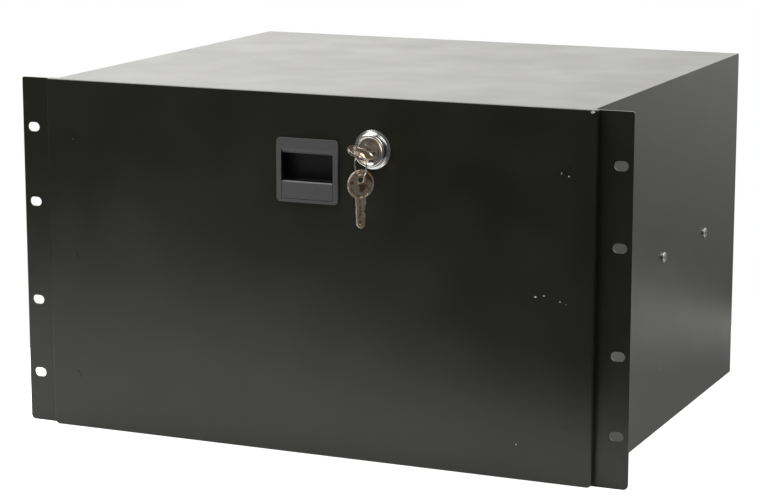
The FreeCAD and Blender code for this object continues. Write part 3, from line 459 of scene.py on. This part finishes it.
# %% Turning
def turned(outline, centre, steps=96):
    """A closed outline of radius and depth, spun about an axis along Y."""
    shape = bmesh.new()
    verts = [shape.verts.new((radius, depth, 0)) for radius, depth in outline]
    edges = [shape.edges.new(pair) for pair in zip(verts, verts[1:] + verts[:1])]
    bmesh.ops.spin(shape, geom=verts + edges, cent=(0, 0, 0), axis=(0, 1, 0),
                   angle=2 * math.pi, steps=steps, use_merge=True, use_duplicate=False)
    bmesh.ops.remove_doubles(shape, verts=shape.verts, dist=MERGE)
    bmesh.ops.recalc_face_normals(shape, faces=shape.faces)
    bmesh.ops.translate(shape, verts=shape.verts, vec=centre)
    return shape


# %% Lock body
BORE, BARREL = 7.05 * MM, 9.5 * MM
# The ring's lip: the radius of its rounding, the width of its flat, and how far that falls inwards.
LIP_ROUND, LIP_FLAT, LIP_FALL = 1.3 * MM, 0.4 * MM, 0.15 * MM
LIP_STEPS = 6
DISH_DEEP, DISH_SLOPE = 1.8 * MM, 1.6 * MM
# In from the flange's edge and out from the front, in millimetres: the ring's foot with its fillet,
# then the flange's slope and its rounded edge.
SKIRT = ((2.2, 2.3), (2.1, 1.9), (1.8, 1.6), (0.4, 1.1), (0.1, 0.9), (0, 0.6))


def make_lock_body():
    low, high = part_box("lock_body")
    centre = (low + high) / 2
    flange = (high.x - low.x) / 2
    front_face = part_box("drawer_front")[0].y
    skirt = [(flange - inward * MM, front_face - out * MM) for inward, out in SKIRT]
    ring = skirt[0][0]
    angles = [step / LIP_STEPS * math.pi / 2 for step in range(LIP_STEPS + 1)]
    lip = [(ring - LIP_ROUND * (1 - math.sin(angle)), low.y + LIP_ROUND * (1 - math.cos(angle)))
           for angle in angles]
    dish = ring - LIP_ROUND - LIP_FLAT
    floor = low.y + DISH_DEEP
    outline = [(BORE, floor), (dish - DISH_SLOPE, floor), (dish, low.y + LIP_FALL), *lip, *skirt,
               (flange, front_face), (BARREL, front_face), (BARREL, high.y), (BORE, high.y)]
    shape = turned(outline, (centre.x, 0, centre.z))
    place_piece(shape, "lock_casting", "chrome", "drawer", "lock_body")


make_lock_body()

# %% [markdown]
# ## Rivet faces
#
# The front is held by rivets that are pressed flush and painted over, which leaves a low ring with a
# dimple in its middle. A bump in the paint could hint at them, but a ring that catches the light has to
# stand proud, so each is a small turned face on the front.

# %% Rivet faces
# The face's radius, and how far its edge reaches into the sheet.
RIVET_RADIUS, RIVET_ROOT = 3.0 * MM, 0.3 * MM
# Share of the radius, and depth in millimetres, from the dimple's middle out to the ring's edge.
DIMPLE = ((0, 0.14), (0.3, 0.1), (0.5, -0.02), (0.68, -0.12), (0.85, -0.06), (1, 0.02))


def make_rivet_faces():
    low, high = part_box("front_rivets")
    front_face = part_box("drawer_front")[0].y
    outline = [(share * RIVET_RADIUS, front_face + depth * MM) for share, depth in DIMPLE]
    outline += [(RIVET_RADIUS, front_face + RIVET_ROOT), (0, front_face + RIVET_ROOT)]
    columns = (low.x + RIVET_RADIUS, high.x - RIVET_RADIUS)
    rows = (low.z + RIVET_RADIUS, (low.z + high.z) / 2, high.z - RIVET_RADIUS)
    for number, (x, z) in enumerate(((x, z) for x in columns for z in rows), start=1):
        shape = turned(outline, (x, 0, z), steps=48)
        place_piece(shape, "rivet_face_" + str(number), "black_paint", "drawer")


make_rivet_faces()

# %% [markdown]
# ## Paint chips and painted glints
#
# The drawer is not new: beside the rivets, and on the front's upper right corner, small flakes of paint
# are gone and the pale primer under them shows. The same pale patches also paint the glints that the
# rivets' rings and the corner's bend catch, so they are partly painted highlight. A flake could be
# painted by a mask in the powder coat, but a mask needs a texture for a few specks. Each spot is a thin
# patch with a ragged outline, lying on the face, that rides on the drawer.

# %% Paint chips and painted glints
# Across, up, half width and half height of each spot, in millimetres.
CHIP_AND_GLINT_SPOTS = ((191.8, 88.5, 0.5, 0.7), (197.2, 86.8, 0.6, 0.5), (173.9, 0.4, 0.9, 0.6),
         (180.2, 1.7, 0.8, 0.4), (192.0, -1.5, 0.5, 0.6), (196.4, -2.9, 0.5, 0.5),
         (160.7, -107.1, 0.5, 0.5), (-194.6, 89.0, 0.4, 0.4), (213.7, 132.0, 1.7, 0.9))
SPOT_PROUD = 0.03 * MM
SPOT_CORNERS = 9
# How ragged a spot's rim is, as a share of its radius, and the wave along the corners that makes it so.
RAGGED, WAVE = 0.25, 2.7
# Pale primer, which also serves as painted highlight for the glints at the rivets and the corner.
primer_and_glint_paint = start_material("zinc primer, bare, with painted glints", "#d6d6d2", 0.5)[0]


def make_chips_and_painted_glints():
    front_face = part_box("drawer_front")[0].y
    stand = Matrix.Rotation(math.radians(90), 4, "X")
    shape = bmesh.new()
    for number, (x, z, wide, high) in enumerate(CHIP_AND_GLINT_SPOTS):
        rim = bmesh.ops.create_circle(shape, cap_ends=True, segments=SPOT_CORNERS,
                                      radius=MM)["verts"]
        for corner, vert in enumerate(rim):
            vert.co *= 1 + RAGGED * math.sin(WAVE * corner + number)
        bmesh.ops.scale(shape, verts=rim, vec=(wide, high, 1))
        place = Matrix.Translation((x * MM, front_face, z * MM)) @ stand
        bmesh.ops.transform(shape, matrix=place, verts=rim)
    moved = bmesh.ops.extrude_face_region(shape, geom=shape.faces[:])["geom"]
    raised = [item for item in moved if isinstance(item, bmesh.types.BMVert)]
    bmesh.ops.translate(shape, verts=raised, vec=(0, -SPOT_PROUD, 0))
    bmesh.ops.recalc_face_normals(shape, faces=shape.faces)
    chip_glint_patch = place_piece(shape, "paint_chips_and_glints", "zinc", "drawer")
    chip_glint_patch.data.materials[0] = primer_and_glint_paint


make_chips_and_painted_glints()

# %% [markdown]
# ## Split ring
#
# The keys hang on a split ring, which is flattened spring wire wound into two touching turns. A plain
# torus would do from afar, but the seam between the turns is what the eye knows it by. One small
# ellipse, twice as high as thick, is spun twice round with a step along the axis at each stage. The
# steps add up to half the wire's thickness in each turn, so both turns stay inside the solid ring. The
# ring hangs across the axis of its joint, which gives the direction that it faces.

# %% Split ring
# Half the wire's thickness, and how many times as high as thick it is.
WIRE = 0.3 * MM
HIGH_TO_THICK = 2
TURNS, SPIN_STEPS = 2, 128
RING_CREASE = math.radians(60)


def joint_named(name):
    return next(joint for joint in frame["joints"] if joint["name"] == name)


def make_split_ring():
    low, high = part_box("key_ring")
    outer = (high.z - low.z) / 2
    shape = bmesh.new()
    section = bmesh.ops.create_circle(shape, segments=16, radius=WIRE, cap_ends=False)["verts"]
    bmesh.ops.scale(shape, verts=section, vec=(HIGH_TO_THICK, 1, 1))
    upright = Matrix.Rotation(math.radians(90), 4, "X")
    start = Matrix.Translation((outer - HIGH_TO_THICK * WIRE, 0, -WIRE))
    bmesh.ops.transform(shape, matrix=start @ upright, verts=section)
    bmesh.ops.spin(shape, geom=shape.verts[:] + shape.edges[:], cent=(0, 0, 0), axis=(0, 0, 1),
                   dvec=(0, 0, TURNS * WIRE / SPIN_STEPS), angle=TURNS * 2 * math.pi,
                   steps=SPIN_STEPS, use_merge=False, use_duplicate=False)
    bmesh.ops.holes_fill(shape, edges=[edge for edge in shape.edges if edge.is_boundary])
    bmesh.ops.recalc_face_normals(shape, faces=shape.faces)
    across = Vector(joint_named("key_ring_swing")["axis"]).normalized()
    facing = across.cross(Vector((0, 0, 1))).to_track_quat("Z", "Y").to_matrix().to_4x4()
    place = Matrix.Translation((low + high) / 2) @ facing
    bmesh.ops.transform(shape, matrix=place, verts=shape.verts)
    place_piece(shape, "split_ring", "nickel", "ring", "key_ring", RING_CREASE)
    print("split ring:", round(2 * outer / MM, 1), "mm across")


make_split_ring()

# %% [markdown]
# ## Bolt spring
#
# The spring stands between the bracket's foot and the bolt. Drawing the bolt down shortens it, and a
# stiff copy would be pushed through the foot. Bending each coil would need an armature. Here the spring
# is a stiff copy with a mesh of its own that rides on the bolt.

# %% Bolt spring
def make_spring():
    shape = merged_copy("bolt_spring")
    spring = place_piece(shape, "bolt_coil", slot_of["bolt_spring"], "bolt", "bolt_spring")
    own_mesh(spring)


make_spring()

# %% [markdown]
# ## Floor
#
# The drawer stands on a sheet of white card in a studio. The card ends a little in front of it, turned
# askew, so the front mirrors card near its lower edge and dark room above, which is why a black front
# looks black and yet pale along its foot. The card could be a wide floor, but then the whole front
# would turn grey. Where the camera sees the card, it glows a little, so that it stays white while the
# shadow under the drawer still shows. It lies a hair below the base, since two faces in one plane
# flicker.

# %% White card
GLOW = 0.81


def make_card():
    """White card whose glow only the camera sees, so that it lights nothing."""
    material = bpy.data.materials.new("white floor")
    material.use_nodes = True
    tree = material.node_tree
    tree.nodes.clear()
    matt = add_node(tree, "ShaderNodeBsdfDiffuse", {"Color": linear("#f0f0f0")}).outputs["BSDF"]
    glow = add_node(tree, "ShaderNodeEmission", {"Strength": GLOW}).outputs["Emission"]
    both = add_node(tree, "ShaderNodeAddShader", {}, {0: matt, 1: glow}).outputs["Shader"]
    ray = add_node(tree, "ShaderNodeLightPath")
    seen = add_node(tree, "ShaderNodeMixShader", {}, {
        "Fac": ray.outputs["Is Camera Ray"], 1: matt, 2: both})
    add_node(tree, "ShaderNodeOutputMaterial", {}, {"Surface": seen.outputs["Shader"]})
    return material


# %% Floor
# How far the card is turned about the origin, and where its edges lie before that, in metres.
SHEET_TURN = math.radians(31.4)
SHEET_LEFT, SHEET_RIGHT = -0.68, 1.2
SHEET_FRONT, SHEET_BACK = -0.228, 0.36
HAIR = 0.2 * MM


def make_floor():
    shape = bmesh.new()
    size = (SHEET_RIGHT - SHEET_LEFT, SHEET_BACK - SHEET_FRONT, 1)
    middle = ((SHEET_RIGHT + SHEET_LEFT) / 2, (SHEET_BACK + SHEET_FRONT) / 2, 0)
    # A grid's size is half its side, so this one is a metre square until it is scaled.
    bmesh.ops.create_grid(shape, x_segments=1, y_segments=1, size=0.5)
    bmesh.ops.scale(shape, verts=shape.verts, vec=size)
    bmesh.ops.translate(shape, verts=shape.verts, vec=middle)
    bmesh.ops.rotate(shape, verts=shape.verts, matrix=Matrix.Rotation(SHEET_TURN, 3, "Z"))
    floor_level = cad_box[0][2] - HAIR
    bmesh.ops.translate(shape, verts=shape.verts, vec=(0, 0, floor_level))
    mesh = bpy.data.meshes.new("floor")
    shape.to_mesh(mesh)
    shape.free()
    mesh.materials.append(make_card())
    floor = bpy.data.objects.new("floor", mesh)
    bpy.context.scene.collection.objects.link(floor)
    floor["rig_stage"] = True
    print("card at height", round(floor_level / MM, 1), "mm")


make_floor()

# %% [markdown]
# ## Surroundings
#
# A picture of a real studio could surround the object, but a few directions say all that its plain
# faces mirror. To the camera the world is plain white. To mirrors it is a wall behind the object and a
# dark room in front. The wall gets brighter upwards, and to both sides of its middle, though less so on
# the far right. Its own light on the object is weak, so that the lamps shape it. A direction's X, Y and
# Z run from -1 to 1, and a Map Range node turns each into a share of brightness.

# %% What mirrors see
FRONT_MIRRORED = 0.09
# From and to which upward direction the wall fades in, and the share of it that is left below.
FADE_LOW, FADE_HIGH, LOW_SHARE = -0.25, 0.08, 0.1
# From and to which sideways direction the wall's brightness changes, and from and to what share.
WALL = ((-0.55, 0.0, 2.05, 0.98), (0.0, 0.25, 1.0, 2.0), (0.25, 0.31, 1.0, 0.6))
# From and to which direction along Y the dark room gives way to the wall.
ROOM_END, WALL_START = -0.25, 0.6


def mirrored_brightness(tree, axes):
    """How bright a mirror sees the world in each direction."""
    wall = add_node(tree, "ShaderNodeMapRange", {
        "interpolation_type": "SMOOTHSTEP", "From Min": FADE_LOW, "From Max": FADE_HIGH,
        "To Min": LOW_SHARE}, {"Value": axes.outputs["Z"]}).outputs["Result"]
    for start, end, before, after in WALL:
        share = add_node(tree, "ShaderNodeMapRange", {
            "From Min": start, "From Max": end, "To Min": before, "To Max": after},
            {"Value": axes.outputs["X"]})
        wall = add_node(tree, "ShaderNodeMath", {"operation": "MULTIPLY"}, {
            0: wall, 1: share.outputs["Result"]}).outputs["Value"]
    behind = add_node(tree, "ShaderNodeMapRange", {
        "interpolation_type": "SMOOTHSTEP", "From Min": ROOM_END, "From Max": WALL_START,
        "To Min": FRONT_MIRRORED}, {"Value": axes.outputs["Y"], "To Max": wall})
    return behind.outputs["Result"]


# %% Surroundings
AMBIENT = 0.14


def make_surroundings():
    world = bpy.data.worlds.new("studio")
    bpy.context.scene.world = world
    world.use_nodes = True
    tree = world.node_tree
    tree.nodes.clear()
    direction = add_node(tree, "ShaderNodeTexCoord").outputs["Generated"]
    axes = add_node(tree, "ShaderNodeSeparateXYZ", {}, {"Vector": direction})
    ray = add_node(tree, "ShaderNodeLightPath")
    mirrored = add_node(tree, "ShaderNodeBackground", {"Color": linear("#fffefb")}, {
        "Strength": mirrored_brightness(tree, axes)})
    soft = add_node(tree, "ShaderNodeBackground", {"Color": linear("#ffffff"), "Strength": AMBIENT})
    white = add_node(tree, "ShaderNodeBackground", {"Color": linear("#ffffff"), "Strength": 1.0})
    by_gloss = add_node(tree, "ShaderNodeMixShader", {}, {
        "Fac": ray.outputs["Is Glossy Ray"], 1: soft.outputs["Background"],
        2: mirrored.outputs["Background"]})
    by_camera = add_node(tree, "ShaderNodeMixShader", {}, {
        "Fac": ray.outputs["Is Camera Ray"], 1: by_gloss.outputs["Shader"],
        2: white.outputs["Background"]})
    add_node(tree, "ShaderNodeOutputWorld", {}, {"Surface": by_camera.outputs["Shader"]})
    print("world nodes:", len(tree.nodes))


make_surroundings()

# %% [markdown]
# ## Lamps
#
# One large soft box hangs above and to the left, and lights the top and the card most. A second one on
# the right lights the card that the side mirrors. Two weak ones stand in front, left and right, and
# draw the highlights on lock, keys and latch. Point lamps would draw hard dots on the chrome, while a
# soft box draws the pale patches that a studio does. Their power is low, so that a colour renders about
# as it is written.

# %% Lamps
def hang_lamp(name, place, target, size, power):
    """A square area lamp that faces a target."""
    lamp = bpy.data.lights.new(name, "AREA")
    lamp.shape = "SQUARE"
    lamp.size = size
    lamp.energy = power
    holder = bpy.data.objects.new(name, lamp)
    holder.location = place
    holder.rotation_euler = (Vector(target) - Vector(place)).to_track_quat("-Z", "Y").to_euler()
    bpy.context.scene.collection.objects.link(holder)
    print(name, "at", place, "with", power, "W")


hang_lamp("overhead soft box", (-0.45, -0.15, 1.05), (-0.35, -0.1, 0), size=0.8, power=20)
hang_lamp("right soft box", (0.55, -0.05, 0.75), (0.36, 0.05, 0), size=0.5, power=3.6)
hang_lamp("front left soft box", (-1.3, -1.9, 1.2), (0, 0, 0), size=0.7, power=1.5)
hang_lamp("front right soft box", (1.5, -0.6, 0.95), (0, 0, 0), size=0.3, power=3)

# %% [markdown]
# ## Camera
#
# The camera stands to the right of the front, a little above the drawer's top, with a long lens. A
# Track To constraint could aim it, but then its turn would depend on a second object, so the way it
# looks and its own upward direction are given instead. The Standard view shows each colour as it is
# written, where a filmic one would turn the white surroundings grey.

# %% Camera
CAMERA_PLACE = (0.7462, -1.5753, 0.3625)
LOOKS_ALONG = (-0.3954, 0.8978, -0.1937)
UPWARDS = (-0.0777, 0.1775, 0.9811)
SENSOR_MM, LENS_MM = 36, 116.2


def set_camera():
    camera = bpy.data.cameras.new("camera")
    camera.sensor_width = SENSOR_MM
    camera.lens = LENS_MM
    holder = bpy.data.objects.new("camera", camera)
    bpy.context.scene.collection.objects.link(holder)
    forward = Vector(LOOKS_ALONG).normalized()
    side = forward.cross(Vector(UPWARDS)).normalized()
    turn = Matrix((side, side.cross(forward), -forward)).transposed().to_4x4()
    holder.matrix_world = Matrix.Translation(CAMERA_PLACE) @ turn
    bpy.context.scene.camera = holder
    print("camera at", CAMERA_PLACE, "with a lens of", LENS_MM, "mm")


set_camera()
bpy.context.scene.view_settings.view_transform = "Standard"

# %% [markdown]
# ## Sizes and finish
#
# Dressing a piece must not make the object larger than its solids, which is easy to miss by eye. So
# both boxes, of the CAD model and of the dressed one, are written down to be compared.

# %% Write the sizes
boxes = {"cad": cad_box, "dressed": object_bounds()}
for name, (low, high) in boxes.items():
    print(name, "box in millimetres:", [round((b - a) / MM, 2) for a, b in zip(low, high)])
